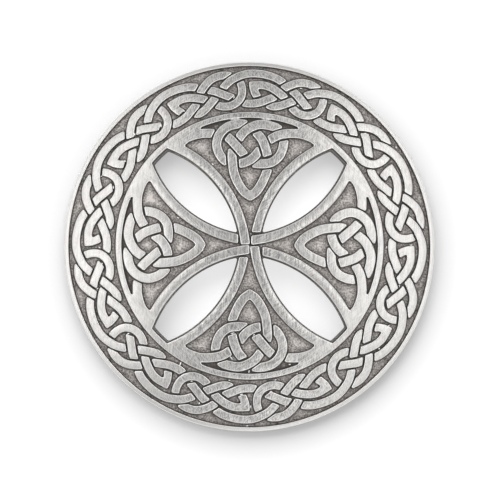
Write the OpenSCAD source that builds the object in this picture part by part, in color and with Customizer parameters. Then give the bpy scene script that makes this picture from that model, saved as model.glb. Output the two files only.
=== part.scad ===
// Plaid brooch: a domed, cast disc with a border of plaited knotwork, a ring,
// a cross of four knotted arms and four pierced lens windows between them.
// Built in millimetres, back down on z = 0, top of the pattern towards +Y.

/* [Disc] */
// Diameter of the disc over its rim
disc_d = 76; // [68:1:90]
// Height of the dome's crown over the top of the rim
dome_rise = 5.5; // [4.5:0.5:6.5]
// Thickness of the disc from the top of the strands to the hollow back
wall = 2.3; // [2.2:0.1:2.6]
// Height of the strands over the sunk ground
relief = 0.7; // [0.5:0.05:0.8]
// Width of the plain rim
rim_w = 0.85; // [0.6:0.05:1.1]
// Width of the flat foot under the rim that the disc lies on
foot_w = 1.8; // [1.2:0.1:2.4]

/* [Knotwork] */
// Width of the strands in the border
border_w = 1.63; // [1.4:0.01:1.7]
// Width of the strands in the four arms
arm_w = 1.88; // [1.6:0.01:1.95]
// Gap at the side of a strand where another one dives under it
cross_gap = 0.36; // [0.25:0.01:0.45]
// Width of the ring round the cross
ring_w = 1.2; // [1:0.05:1.3]
// Width of the bands along the windows
band_w = 1.88; // [1.6:0.01:1.95]
// Ledge of ground left between a band or the ring and the window
ledge = 0.3; // [0.2:0.05:0.5]

/* [Pin] */
// Diameter of the pin's wire
pin_d = 1.3; // [1:0.1:1.5]
// Height of the pin's middle over the surface that the disc lies on
pin_z = 2; // [1.8:0.1:2.2]
// Distance of the hinge and of the catch from the middle
lug_x = 18; // [16:0.5:19]
// Room between the pin and its hinge or catch
pin_gap = 0.15; // [0.1:0.01:0.2]

/* [Hidden] */
$fn = 96;
dome_fn = 240;
turn_fn = 180;

k = disc_d / 76;               // plan sizes grow and shrink with the diameter
disc_r = disc_d / 2;
rim_top = wall;
dome_r = (disc_r * disc_r + dome_rise * dome_rise) / (2 * dome_rise);
dome_z = rim_top + dome_rise - dome_r;   // centre of the dome's sphere
root = 0.4;                    // how deep the strands and lugs are rooted in the plate
tall = 20;                     // taller than anything on the disc
ring_r = 26.3 * k;             // inside of the ring
arc_r = 23.65 * k;             // band's edge along a window
arc_x = 25.43 * k;             // centre of that edge, across the arm
arc_y = -2.04 * k;             // and along it
band_stop = 0.33 * k;          // where the upper bands stop short of the middle
dive_stop = 2.58 * k;          // where the lower bands stop under them
band_x = 19 * k;               // how far a band reaches across the arm
window_r = ring_r - 1.5 * ledge;   // outer end of a window
units = 12;                    // repeats of the border
arms = 4;
ear_l = 3;                     // hinge ears and hook, along the pin
ear_t = 1.2;                   // one ear's thickness
ear_y = 1.75;                  // and its distance from the pin's line
leg_t = 1;                     // the hook's leg
lip_t = 0.7;                   // and its lip under the pin
overhang = 2.5;                // wire past the hook, before its point
point_l = 2.5;                 // length of the point
point_d = 0.3;                 // its blunt end
eye_w = 2 * (ear_y - ear_t / 2) - 4 * pin_gap;   // the eye between the ears
eye_d = pin_d + 1;             // and how thick it is
trail_n = 30;                  // steps along a strand when distances are taken
halvings = 12;                 // steps of the search for a strand's cut end
search = 2.2;                  // how many charted points it may reach over

// Border strands. Columns: degrees round the disc, mm from its middle.
// Each one runs from the crossing it comes up from to the one it dives into.
long_arch = [[16, 33.5], [18.6, 34.45], [21.8, 35.17], [26.4, 35.58],
             [31, 35.48], [35.4, 34.6], [38.4, 33.45], [41, 32.1]];
low_dip = [[11, 32.1], [13.2, 31.1], [15.5, 30.19], [18.2, 29.35],
           [20.6, 29.05], [22.9, 29.4], [24.8, 30]];
hook_run = [[15, 30.4], [16.9, 31.4], [19.3, 32.18], [22.1, 32.87],
            [25, 33.21], [28.4, 33.12]];
hook_stub = [[28.6, 33.1], [28.3, 32.2], [27.1, 30.9], [24.8, 30]];
hairpin = [[34.8, 34.85], [33.24, 33.82], [32.6, 32.32], [33.07, 30.78],
           [34.95, 29.6], [37.8, 29.02], [40.8, 29.17], [43.1, 29.75], [45, 30.4]];
short_arch = [[34.8, 34.85], [36.9, 35.4], [39.8, 35.59], [42.8, 35.2],
              [45.5, 34.22], [47.4, 33.25], [49, 32.15]];
low_bow = [[19, 32.15], [20.6, 31.05], [23.1, 30.26], [26.2, 29.49],
           [29.7, 29.25], [32.2, 29.45], [34.2, 30.1]];
slant = [[34.2, 30.1], [37.4, 30.89], [40.1, 31.72], [42.7, 32.65], [46, 33.5]];
hook_corner = [30.05, 33.85];  // outer corner of the hook, in the same columns

// Strands of one arm, arm upright. Columns: mm to the right, mm out from the middle.
left_tongue = [[-15.2, 20.7], [-13.98, 21.5], [-12.23, 22.41],
               [-10.07, 22.99], [-7.9, 23.05], [-6.1, 22.75]];
left_bar = [[-6.1, 22.75], [-4.59, 22.34], [-2.79, 20.54], [-1.14, 18.59], [-0.1, 17.5]];
right_bow = [[-0.1, 17.4], [0.84, 16.85], [2.71, 16.7], [4.51, 17.02],
             [5.96, 18.16], [6.77, 19.79], [7.06, 21.62], [6.9, 22.9]];
crown = [[6.9, 22.9], [5.65, 24.1], [3.94, 24.69], [2.14, 24.88],
         [0.42, 24.37], [-1.08, 23.37], [-2.18, 21.95], [-2.9, 20.5]];
loop_left = [[-3, 20.6], [-3.57, 18.94], [-3.5, 16.77], [-3.17, 14.64],
             [-2.32, 12.64], [-1.14, 10.93], [0.08, 10.05]];
loop_right = [[0.08, 10.05], [1.25, 10.9], [2.25, 12.3], [3.02, 13.86],
              [3.6, 15.4], [3.8, 16.85]];
right_bar = [[3.8, 16.85], [3.68, 18.3], [3.22, 20.11], [2.49, 21.84],
             [1.3, 23.27], [0.1, 24.2]];
left_bow = [[0.1, 24.3], [-1.24, 24.98], [-3.13, 24.86], [-4.9, 24.15], [-6.19, 22.73],
            [-6.75, 20.9], [-6.32, 19.03], [-5.2, 17.48], [-3.5, 16.8]];
middle_bar = [[-3.5, 16.8], [-2, 16.78], [-0.52, 17.18], [0.77, 18.02],
              [1.78, 19.18], [2.9, 20.7]];
right_tongue = [[2.9, 20.7], [4.08, 21.64], [6.03, 22.67], [8.21, 23.02],
                [10.41, 22.93], [12.6, 22.2], [14.2, 21.3], [15.4, 20.4]];
// Solid metal where tongue, band and ring meet. Same columns, right side of the arm.
corner = [[16.4, 18.9], [17.6, 20.2], [9.6, 24.9], [10.3, 23.5], [12.9, 20.9]];

// Charts in mm on the disc
function polar(p) = [for (q = p) q[1] * k * [cos(q[0]), sin(q[0])]];
function flat(p) = [for (q = p) q * k];
function turned(p, a) = [for (q = p) [q[0] * cos(a) - q[1] * sin(a), q[0] * sin(a) + q[1] * cos(a)]];

// A smooth line through the charted points p; place t runs from 0 to len(p) - 1
function spot(p, i) = i < 0 ? 2 * p[0] - p[1]
                    : i >= len(p) ? 2 * p[len(p) - 1] - p[len(p) - 2] : p[i];
function along(p, t) =
    let (i = max(0, min(floor(t), len(p) - 2)), f = t - i,
         a = spot(p, i - 1), b = spot(p, i), c = spot(p, i + 1), d = spot(p, i + 2))
    (2 * b + (c - a) * f + (2 * a - 5 * b + 4 * c - d) * f * f
     + (3 * b - a - 3 * c + d) * f * f * f) / 2;
function beside(p, t, w) =
    let (v = along(p, t + 0.01) - along(p, t - 0.01), h = v / norm(v))
    along(p, t) + w * [-h[1], h[0]];
function trail(p) = [for (i = [0 : trail_n]) along(p, i * (len(p) - 1) / trail_n)];

// Distance of point q from a trail
function stretch(q, a, b) =
    let (v = b - a, f = max(0, min(1, ((q - a) * v) / (v * v)))) norm(q - a - f * v);
function distance(q, way) = min([for (i = [0 : len(way) - 2]) stretch(q, way[i], way[i + 1])]);

// Place between t0 (too near) and t1 (clear) where the line w beside p leaves the trail's reach
function leaves(p, w, way, reach, t0, t1, n = halvings) =
    n == 0 ? t1 :
    let (m = (t0 + t1) / 2)
    distance(beside(p, m, w), way) < reach
        ? leaves(p, w, way, reach, m, t1, n - 1) : leaves(p, w, way, reach, t0, m, n - 1);
function first_place(p, w, over, reach) =
    over == undef ? 0 : leaves(p, w, trail(over), reach, 0, min(search, (len(p) - 1) / 2));
function last_place(p, w, over, reach) =
    let (n = len(p) - 1)
    over == undef ? n : leaves(p, w, trail(over), reach, n, n - min(search, n / 2));
function edge(p, w, t0, t1, steps) = [for (i = [0 : steps]) beside(p, t0 + (t1 - t0) * i / steps, w)];
function back(p) = [for (i = [len(p) - 1 : -1 : 0]) p[i]];
function after_first(p) = [for (i = [1 : len(p) - 1]) p[i]];
function sided(p, side) = side > 0 ? p : back([for (q = p) [-q[0], q[1]]]);   // right side, or its mirror

// Outline of one strand of width w that comes up from under one strand and dives under another
function strand(p, w, under_start, under_end, steps) =
    let (h = w / 2, reach = h + cross_gap)
    concat(edge(p, -h, first_place(p, -h, under_start, reach), last_place(p, -h, under_end, reach), steps),
           back(edge(p, h, first_place(p, h, under_start, reach),
                     last_place(p, h, under_end, reach), steps)));

// Outline of a strand with a sharp bend: leg p runs to the bend, leg q away from it,
// the outside of the bend lies to the right and bend lists its outer points
function bent(p, q, w, bend, under_start, under_end, steps_p, steps_q) =
    let (h = w / 2, reach = h + cross_gap)
    concat(edge(p, -h, first_place(p, -h, under_start, reach), len(p) - 1, steps_p), bend,
           edge(q, -h, 0, last_place(q, -h, under_end, reach), steps_q),
           back(edge(q, h, first_place(q, h, p, h), last_place(q, h, under_end, reach), steps_q)),
           after_first(back(edge(p, h, first_place(p, h, under_start, reach),
                                 last_place(p, h, q, h), steps_p))));

module border_unit() {
    step = 360 / units;
    w = border_w;
    polygon(strand(polar(long_arch), w, turned(polar(short_arch), -step), polar(slant), 8));
    polygon(strand(polar(low_dip), w, turned(polar(slant), -step), polar(low_bow), 7));
    polygon(bent(polar(hook_run), polar(hook_stub), w, polar([hook_corner]),
                 polar(low_dip), polar(low_bow), 6, 3));
    polygon(strand(polar(hairpin), w, polar(long_arch), turned(polar(low_dip), step), 12));
    polygon(strand(polar(short_arch), w, polar(long_arch), turned(polar(hook_run), step), 7));
    polygon(strand(polar(low_bow), w, polar(hook_run), polar(hairpin), 7));
    polygon(strand(polar(slant), w, polar(hairpin), polar(short_arch), 4));
}

// One of the two bands of an arm, cut off at stop; side -1 is the left one
module band(side, stop) {
    intersection() {
        translate([side * arc_x, arc_y]) difference() {
            circle(r = arc_r + band_w);
            circle(r = arc_r);
        }
        polygon(sided([[0, stop], [band_w * 2, stop], [band_x, band_x - band_w],
                       [band_x, ring_r], [0, ring_r]], side));
        circle(r = ring_r + ring_w / 2);
    }
}

// Metal of a corner between tongue, band and ring
module corner_fill(side) {
    intersection() {
        difference() {
            polygon(sided(flat(corner), side));
            translate([side * arc_x, arc_y]) circle(r = arc_r);
        }
        circle(r = ring_r + ring_w / 2);
    }
}

module arm_unit() {
    w = arm_w;
    tip = loop_right[0] * k;
    round = [for (a = [-112 : 22 : -68]) tip + w / 2 * [cos(a), sin(a)]];   // loop's outer turn
    intersection() {
        union() {
            polygon(strand(flat(left_tongue), w, undef, flat(left_bow), 6));
            polygon(strand(flat(right_tongue), w, flat(right_bar), undef, 8));
        }
        circle(r = ring_r + ring_w / 2);
    }
    polygon(strand(flat(left_bar), w, flat(left_bow), flat(middle_bar), 4));
    polygon(strand(flat(right_bow), w, flat(middle_bar), flat(right_tongue), 10));
    polygon(strand(flat(crown), w, flat(right_tongue), flat(left_bar), 10));
    polygon(bent(flat(loop_left), flat(loop_right), w, round,
                 flat(left_bar), flat(right_bow), 7, 4));
    polygon(strand(flat(right_bar), w, flat(right_bow), flat(crown), 5));
    polygon(strand(flat(left_bow), w, flat(crown), flat(loop_left), 12));
    polygon(strand(flat(middle_bar), w, flat(loop_left), flat(right_bar), 5));
    band(-1, band_stop);
    band(1, dive_stop);
    corner_fill(-1);
    corner_fill(1);
}

module ring_plan() {
    difference() {
        circle(r = ring_r + ring_w);
        circle(r = ring_r);
    }
}

module raised_plan() {
    ring_plan();
    for (i = [0 : arms - 1]) rotate(i * 360 / arms) arm_unit();
    for (i = [0 : units - 1]) rotate(i * 360 / units) border_unit();
}

// One lens window, standing at the upper left of the cross
module window_plan() {
    intersection() {
        translate([-arc_x, arc_y]) circle(r = arc_r - ledge);
        translate([-arc_y, arc_x]) circle(r = arc_r - ledge);
        circle(r = window_r);
    }
}

// Half section of a domed layer whose upper and lower faces lie that far under the crest
module dome_section(upper, lower, r) {
    intersection() {
        translate([0, dome_z]) difference() {
            circle(r = dome_r - upper, $fn = dome_fn);
            circle(r = dome_r - lower, $fn = dome_fn);
        }
        square([r, tall]);
    }
}

// The same layer from radius r out to the rim, filled right down to the foot
module rim_section(upper, r) {
    difference() {
        dome_section(upper, 2 * wall, disc_r);
        square([r, tall]);
    }
}

// Half section of the plain disc: sunk ground, rim and foot over the hollow back
module plate_section() {
    dome_section(relief, wall, disc_r);
    rim_section(0, disc_r - rim_w);
    rim_section(relief, disc_r - foot_w);
}

// Height of the hollow side of the dome over the lugs
back_z = dome_z + sqrt(pow(dome_r - wall, 2) - lug_x * lug_x);

// Two ears with a round hole each, for the pin's cross bar
module hinge() {
    low = pin_z - ear_l / 2;
    for (side = [-1, 1]) difference() {
        translate([lug_x - ear_l / 2, side * ear_y - ear_t / 2, low])
            cube([ear_l, ear_t, back_z + root - low]);
        translate([lug_x, side * ear_y, pin_z]) rotate([90, 0, 0])
            cylinder(d = pin_d + 2 * pin_gap, h = 2 * ear_t, center = true);
    }
}

// A hook under the pin near its point: a leg beside it and a lip under it
module hook() {
    half = pin_d / 2 + pin_gap;
    low = pin_z - half - lip_t;
    translate([-lug_x - ear_l / 2, half, low]) cube([ear_l, leg_t, back_z + root - low]);
    translate([-lug_x - ear_l / 2, -half, low]) cube([ear_l, 2 * half + leg_t / 2, lip_t]);
}

module disc() {
    color("silver") union() {
        difference() {
            rotate_extrude($fn = turn_fn) plate_section();
            for (i = [0 : arms - 1]) rotate(i * 360 / arms) linear_extrude(tall) window_plan();
        }
        intersection() {
            rotate_extrude($fn = turn_fn) dome_section(0, relief + root, disc_r - rim_w);
            linear_extrude(tall) raised_plan();
        }
        hinge();
        hook();
    }
}

// Straight wire with a point at one end and a cross bar in a round eye at the other
module pin() {
    color("gray") union() {
        translate([-lug_x - overhang, 0, pin_z]) rotate([0, 90, 0])
            cylinder(d = pin_d, h = 2 * lug_x + overhang);
        translate([-lug_x - overhang - point_l, 0, pin_z]) rotate([0, 90, 0])
            cylinder(d1 = point_d, d2 = pin_d, h = point_l);
        translate([lug_x, 0, pin_z]) rotate([90, 0, 0])
            cylinder(d = pin_d, h = 2 * ear_y + ear_t, center = true);
        translate([lug_x, 0, pin_z]) rotate([90, 0, 0])
            cylinder(d = eye_d, h = eye_w, center = true);
    }
}

disc();
pin();
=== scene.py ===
import math
import random

import bmesh
import bpy
import numpy as np
from mathutils import Matrix, Vector, geometry, kdtree


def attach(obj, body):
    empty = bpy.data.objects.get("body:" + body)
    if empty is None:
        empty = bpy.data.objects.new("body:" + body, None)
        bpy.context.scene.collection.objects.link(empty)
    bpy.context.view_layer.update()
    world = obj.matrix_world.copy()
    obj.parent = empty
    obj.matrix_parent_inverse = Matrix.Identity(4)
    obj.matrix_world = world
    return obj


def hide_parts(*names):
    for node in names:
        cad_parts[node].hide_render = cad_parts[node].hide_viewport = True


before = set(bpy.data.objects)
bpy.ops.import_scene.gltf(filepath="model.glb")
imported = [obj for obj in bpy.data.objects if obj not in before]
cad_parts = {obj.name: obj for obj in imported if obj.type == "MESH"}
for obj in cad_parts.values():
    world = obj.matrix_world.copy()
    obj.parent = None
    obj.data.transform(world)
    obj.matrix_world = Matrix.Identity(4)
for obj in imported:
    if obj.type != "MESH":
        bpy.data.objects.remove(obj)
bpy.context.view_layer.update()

mm = 0.001
pieces = bpy.data.collections.new("brooch")
stageThings = bpy.data.collections.new("stage")
for things in (pieces, stageThings):
    bpy.context.scene.collection.children.link(things)


# The cast disc. Lengths in mm, depths measured down from the crest of the dome.
disc = {
    "radius": 38.0,
    "rimWidth": 0.85,
    "rimTop": 2.3,
    "rise": 5.5,
    "relief": 0.7,
    "edgeDepth": 0.13,  # where a strand's worn edge ends and its steep side begins
    "thickness": 2.3,
    "footInner": 36.2,
    "ringInner": 26.3,
    "ringOuter": 27.5,
    "bandInner": 23.65,
    "bandWidth": 1.88,
    "bandMiddle": (25.43, -2.04),
    "bandReach": 26.9,  # the bands end inside the ring
    "leastArea": 0.15,  # smaller crumbs between ring, bands and tongues are left out
    # where the bands stop short of the middle: arms at the top, left, bottom and right
    "bandStops": {-1: (0.10, 0.12, 0.26, 0.26), 1: (2.58, 2.42, 2.52, 2.58)},
    "bandCrown": 0.13,
    "crownRange": (3.0, 24.5),  # the bands are flat near the middle and near the ring
    "windowArc": 23.35,
    "windowEnd": 25.85,
    "windowCorner": 0.35,
    # the plate's lip round a window: mm in from the edge, mm that it has fallen away, brightness of its
    # painted highlight
    "windowLip": [(0.1, 0.02, 0.3), (0, 0.06, 0.4)],
    "rimSteps": 480,
    "groundSpacing": 0.36,
    "groundJitter": 0.12,
    "groundClear": 0.24,
    "backSpacing": 1.3,
    "seed": 11,
}
domeRadius = (disc["radius"] ** 2 + disc["rise"] ** 2) / (2 * disc["rise"])
domeMiddle = disc["rimTop"] + disc["rise"] - domeRadius
rowHeight = 0.866  # of a triangular grid, in spacings
bandSides = [(n, toSide) for n in range(4) for toSide in (-1, 1)]  # the eight bands: quarter turn, side

# How a raised strand's top edge is worn: mm in from the outline, mm under the crest, and the brightness of
# its painted highlight.
edgeProfileAndHighlight = [(-0.1, disc["relief"], 0), (0.0, disc["edgeDepth"], 0.3), (0.05, 0.05, 1.0),
            (0.12, 0.012, 0.8), (0.22, 0.0, 0)]

# How finely the outlines are drawn and how far their corners may be cut: mm and degrees.
drawing = {
    "step": 0.42,
    "turn": 16,
    "sharp": 26,
    "corner": 24,
    "longestCut": 0.75,
    "cutShare": 0.46,  # of the side next to the corner
}

# Border knot, one repeat of 30 degrees. Columns: degrees round the disc, mm from its middle.
borderKnot = {
    "repeats": 12,
    "width": 1.63,
    "gap": 0.36,
    "corner": 0.26,
    "hookCorner": (30.05, 33.85),
    "lines": {
        "longArch": [(16, 33.5), (18.6, 34.45), (21.8, 35.17), (26.4, 35.58),
                     (31, 35.48), (35.4, 34.6), (38.4, 33.45), (41, 32.1)],
        "lowDip": [(11, 32.1), (13.2, 31.1), (15.5, 30.19), (18.2, 29.35),
                   (20.6, 29.05), (22.9, 29.4), (24.8, 30)],
        "hookRun": [(15, 30.4), (16.9, 31.4), (19.3, 32.18), (22.1, 32.87), (25, 33.21), (28.4, 33.12)],
        "hookStub": [(28.6, 33.1), (28.3, 32.2), (27.1, 30.9), (24.8, 30)],
        "hairpin": [(34.8, 34.85), (33.24, 33.82), (32.6, 32.32), (33.07, 30.78),
                    (34.95, 29.6), (37.8, 29.02), (40.8, 29.17), (43.1, 29.75), (45, 30.4)],
        "shortArch": [(34.8, 34.85), (36.9, 35.4), (39.8, 35.59), (42.8, 35.2),
                      (45.5, 34.22), (47.4, 33.25), (49, 32.15)],
        "lowBow": [(19, 32.15), (20.6, 31.05), (23.1, 30.26), (26.2, 29.49),
                   (29.7, 29.25), (32.2, 29.45), (34.2, 30.1)],
        "slant": [(34.2, 30.1), (37.4, 30.89), (40.1, 31.72), (42.7, 32.65), (46, 33.5)],
    },
    # strand: (strand above its start, steps round), (strand above its end, steps round)
    "under": {
        "longArch": (("shortArch", -1), ("slant", 0)),
        "lowDip": (("slant", -1), ("lowBow", 0)),
        "hairpin": (("longArch", 0), ("lowDip", 1)),
        "shortArch": (("longArch", 0), ("hookRun", 1)),
        "lowBow": (("hookRun", 0), ("hairpin", 0)),
        "slant": (("hairpin", 0), ("shortArch", 0)),
    },
}

# Knot of one arm, arm upright. Columns: mm to the right, mm out from the middle.
armKnot = {
    "repeats": 4,
    "width": 1.88,
    "gap": 0.36,
    "corner": 0.3,
    "lines": {
        "leftTongue": [(-15.2, 20.7), (-13.98, 21.5), (-12.23, 22.41), (-10.07, 22.99),
                       (-7.9, 23.05), (-6.1, 22.75)],
        "leftBar": [(-6.1, 22.75), (-4.59, 22.34), (-2.79, 20.54), (-1.14, 18.59), (-0.1, 17.5)],
        "rightBow": [(-0.1, 17.4), (0.84, 16.85), (2.71, 16.7), (4.51, 17.02),
                     (5.96, 18.16), (6.77, 19.79), (7.06, 21.62), (6.9, 22.9)],
        "crown": [(6.9, 22.9), (5.65, 24.1), (3.94, 24.69), (2.14, 24.88),
                  (0.42, 24.37), (-1.08, 23.37), (-2.18, 21.95), (-2.9, 20.5)],
        "loopLeft": [(-3, 20.6), (-3.57, 18.94), (-3.5, 16.77), (-3.17, 14.64),
                     (-2.32, 12.64), (-1.14, 10.93), (0.08, 10.05)],
        "loopRight": [(0.08, 10.05), (1.25, 10.9), (2.25, 12.3), (3.02, 13.86), (3.6, 15.4), (3.8, 16.85)],
        "rightBar": [(3.8, 16.85), (3.68, 18.3), (3.22, 20.11), (2.49, 21.84), (1.3, 23.27), (0.1, 24.2)],
        "leftBow": [(0.1, 24.3), (-1.24, 24.98), (-3.13, 24.86), (-4.9, 24.15), (-6.19, 22.73),
                    (-6.75, 20.9), (-6.32, 19.03), (-5.2, 17.48), (-3.5, 16.8)],
        "middleBar": [(-3.5, 16.8), (-2, 16.78), (-0.52, 17.18), (0.77, 18.02), (1.78, 19.18), (2.9, 20.7)],
        "rightTongue": [(2.9, 20.7), (4.08, 21.64), (6.03, 22.67), (8.21, 23.02),
                        (10.41, 22.93), (12.6, 22.2), (14.2, 21.3), (15.4, 20.4)],
    },
    "under": {
        "leftBar": (("leftBow", 0), ("middleBar", 0)),
        "rightBow": (("middleBar", 0), ("rightTongue", 0)),
        "crown": (("rightTongue", 0), ("leftBar", 0)),
        "rightBar": (("rightBow", 0), ("crown", 0)),
        "leftBow": (("crown", 0), ("loopLeft", 0)),
        "middleBar": (("loopLeft", 0), ("rightBar", 0)),
    },
    # the tongues run into the ring, so they join the frame of ring and bands
    "tongues": {"leftTongue": (None, ("leftBow", 0)), "rightTongue": (("rightBar", 0), None)},
    "cornerMetal": [(16.4, 18.9), (17.6, 20.2), (9.6, 24.9), (10.3, 23.5), (12.9, 20.9)],
}


def domeHeight(x, y, depth):
    return domeMiddle + np.sqrt((domeRadius - depth) ** 2 - x * x - y * y)


# Places in plan lifted onto the dome
def onDome(places, depth):
    return np.column_stack([places, domeHeight(places[:, 0], places[:, 1], depth)])


def unitCircle(angles):
    return np.column_stack([np.cos(angles), np.sin(angles)])


def ringOf(radius, count):
    return radius * unitCircle(np.linspace(0, 2 * math.pi, count, endpoint=False))


def farOut(points):
    return np.hypot(points[:, 0], points[:, 1])


def closedUp(loop):
    return np.vstack([loop, loop[:1]])


# Unit vectors square to the headings, to their left
def leftOf(headings):
    headings = headings / np.linalg.norm(headings, axis=1)[:, None]
    return np.column_stack([-headings[:, 1], headings[:, 0]])


def turned(points, degrees):
    c = math.cos(math.radians(degrees))
    s = math.sin(math.radians(degrees))
    points = np.asarray(points, float)
    return np.column_stack([points[:, 0] * c - points[:, 1] * s, points[:, 0] * s + points[:, 1] * c])


def fromPolar(rows):
    rows = np.asarray(rows, float)
    return rows[:, 1:] * unitCircle(np.radians(rows[:, 0]))


# A smooth line through charted points; place t runs from 0 to the last point's number.
def lineAt(chart, t):
    padded = np.vstack([2 * chart[0] - chart[1], chart, 2 * chart[-1] - chart[-2]])
    i = np.clip(np.floor(t).astype(int), 0, len(chart) - 2)
    f = (t - i)[:, None]
    a, b, c, d = padded[i], padded[i + 1], padded[i + 2], padded[i + 3]
    square = 2 * a - 5 * b + 4 * c - d
    cube = 3 * b - a - 3 * c + d
    return (2 * b + (c - a) * f + square * f ** 2 + cube * f ** 3) / 2


def lineBeside(chart, t, away):
    return lineAt(chart, t) + away * leftOf(lineAt(chart, t + 0.01) - lineAt(chart, t - 0.01))


def distanceTo(points, line):
    start = line[:-1][None]
    along = (line[1:] - line[:-1])[None]
    reach = points[:, None] - start
    f = np.clip((reach * along).sum(2) / np.maximum((along * along).sum(2), 1e-12), 0, 1)
    return np.linalg.norm(reach - f[..., None] * along, axis=2).min(1)


# Where one side of a strand comes clear of the strand above it, from its start or from its end.
def clearPlace(chart, away, above, gap, fromEnd):
    last = len(chart) - 1
    if above is None:
        return last if fromEnd else 0
    t = np.linspace(0, min(2.2, last / 2), 320)  # the crossing is near this end
    if fromEnd:
        t = last - t
    apart = distanceTo(lineBeside(chart, t, away), lineAt(above, np.linspace(0, len(above) - 1, 60)))
    covered = np.nonzero(apart < abs(away) + gap)[0]
    return t[min(covered[-1] + 1, len(t) - 1)]


# One side of a strand. Start and end each name the strand above, or none, and the gap to it.
def side(chart, away, start, end):
    t = np.linspace(clearPlace(chart, away, *start, False), clearPlace(chart, away, *end, True), 90)
    return lineBeside(chart, t, away)


# A strand with a sharp bend: one leg runs to the bend, the other away, the bend's outside to the right.
def bentOutline(knot, first, second, bend, aboveStart, aboveEnd):
    h = knot["width"] / 2
    start, end, free = (aboveStart, knot["gap"]), (aboveEnd, knot["gap"]), (None, 0)
    return np.vstack([side(first, -h, start, free), bend, side(second, -h, free, end),
                      side(second, h, (first, 0), end)[::-1], side(first, h, start, (second, 0))[::-1][1:]])


def strandOutlines(knot, chart, kind="under"):
    def above(entry):
        return entry and turned(chart[entry[0]], entry[1] * 360 / knot["repeats"])

    h = knot["width"] / 2
    outlines = []
    for name, (first, last) in knot[kind].items():
        ends = (above(first), knot["gap"]), (above(last), knot["gap"])
        outlines.append(np.vstack([side(chart[name], -h, *ends), side(chart[name], h, *ends)[::-1]]))
    return outlines


# Even steps along a closed outline, closer together where it turns, with its corners rounded off.
def softened(outline, cornerRadius):
    outline = outline[np.linalg.norm(outline - np.roll(outline, 1, axis=0), axis=1) > 1e-4]
    ahead = np.roll(outline, -1, axis=0) - outline
    heading = np.arctan2(ahead[:, 1], ahead[:, 0])
    turn = (heading - np.roll(heading, 1) + math.pi) % (2 * math.pi) - math.pi
    corners = [int(i) for i in np.nonzero(np.abs(np.degrees(turn)) > drawing["sharp"])[0]]
    if corners:
        outline = np.roll(outline, -corners[0], axis=0)
        turn = np.roll(turn, -corners[0])
        corners = [i - corners[0] for i in corners]
    closed = closedUp(outline)
    run = np.concatenate([[0], np.cumsum(np.linalg.norm(np.diff(closed, axis=0), axis=1))])

    def place(s):
        s = np.clip(np.atleast_1d(s), 0, run[-1])
        return np.column_stack([np.interp(s, run, closed[:, 0]), np.interp(s, run, closed[:, 1])])

    def stretch(s0, s1):
        fine = np.linspace(s0, s1, max(4, int((s1 - s0) / 0.05)))
        way = np.diff(place(fine), axis=0)
        bearing = np.unwrap(np.arctan2(way[:, 1], way[:, 0]))
        cost = np.linalg.norm(way, axis=1) / drawing["step"]
        cost[1:] += np.abs(np.diff(bearing)) / math.radians(drawing["turn"])
        total = np.concatenate([[0], np.cumsum(cost)])
        count = max(1, math.ceil(total[-1]))
        return place(np.interp(np.linspace(0, total[-1], count + 1), total, fine))

    if not corners:
        return stretch(0, run[-1])[:-1]
    at = [run[i] for i in corners] + [run[-1]]
    cut = []
    for n, i in enumerate(corners):
        before = at[n] - at[n - 1] if n else run[-1] - at[-2]
        after = at[n + 1] - at[n]
        want = cornerRadius * math.tan(min(abs(turn[i]), 2.3) / 2)
        cut.append(min(want, drawing["longestCut"], drawing["cutShare"] * min(before, after)))
    cut.append(cut[0])
    result = []
    for n, i in enumerate(corners):
        corner = outline[i]
        a = place(at[n] - cut[n] if n else run[-1] - cut[0])[0]
        b = place(at[n] + cut[n])[0]
        half = abs(turn[i])
        pull = 4 / 3 * math.tan(half / 4) / math.tan(half / 2)
        a1 = a + pull * (corner - a)
        b1 = b + pull * (corner - b)
        count = max(2, round(math.degrees(half) / drawing["corner"]))
        for f in np.linspace(0, 1, count + 1)[:-1]:
            g = 1 - f
            result.append(g ** 3 * a + 3 * g * g * f * a1 + 3 * g * f * f * b1 + f ** 3 * b)
        result.extend(stretch(at[n] + cut[n], at[n + 1] - cut[n + 1])[:-1])
    return np.array(result)


# The outline moved sideways, inwards (to its left) for by > 0.
def movedAll(outline, by):
    return outline + by * leftOf(np.roll(outline, -1, axis=0) - np.roll(outline, 1, axis=0))


# The same without the points that would fold over.
def moved(outline, by):
    if by == 0:
        return outline
    result = movedAll(outline, by)
    return result[distanceTo(result, closedUp(outline)) > abs(by) * 0.93]


def insideOf(points, outline):
    low, high = outline.min(0), outline.max(0)
    result = np.zeros(len(points), bool)
    near = np.nonzero((points >= low).all(1) & (points <= high).all(1))[0]
    if not len(near):
        return result
    x, y = points[near, 0][:, None], points[near, 1][:, None]
    a, b = outline, np.roll(outline, -1, axis=0)
    spans = (a[:, 1] > y) != (b[:, 1] > y)
    with np.errstate(divide="ignore", invalid="ignore"):
        cross = a[:, 0] + (y - a[:, 1]) * (b[:, 0] - a[:, 0]) / (b[:, 1] - a[:, 1])
    result[near] = (spans & (x < cross)).sum(1) % 2 == 1
    return result


def insideAny(points, outlines):
    result = np.zeros(len(points), bool)
    for outline in outlines:
        result |= insideOf(points, outline)
    return result


def nearest(tree, points):
    return np.array([tree.find((p[0], p[1], 0))[2] for p in points])


# Triangles between closed loops and loose points. Origin is the number of the point that a spot comes from.
def triangulate(loops, loose):
    points = []
    edges = []
    for loop in loops:
        first = len(points)
        points.extend(loop)
        edges.extend((first + i, first + (i + 1) % len(loop)) for i in range(len(loop)))
    points.extend(loose)
    flat = [Vector((float(p[0]), float(p[1]))) for p in points]
    made = geometry.delaunay_2d_cdt(flat, edges, [], 0, 1e-5, True)
    spots = np.array([(v.x, v.y) for v in made[0]])
    faces = np.array([f for f in made[2] if len(f) == 3])
    origin = np.array([ids[0] if ids else -1 for ids in made[3]])
    return spots, faces, origin


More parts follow.
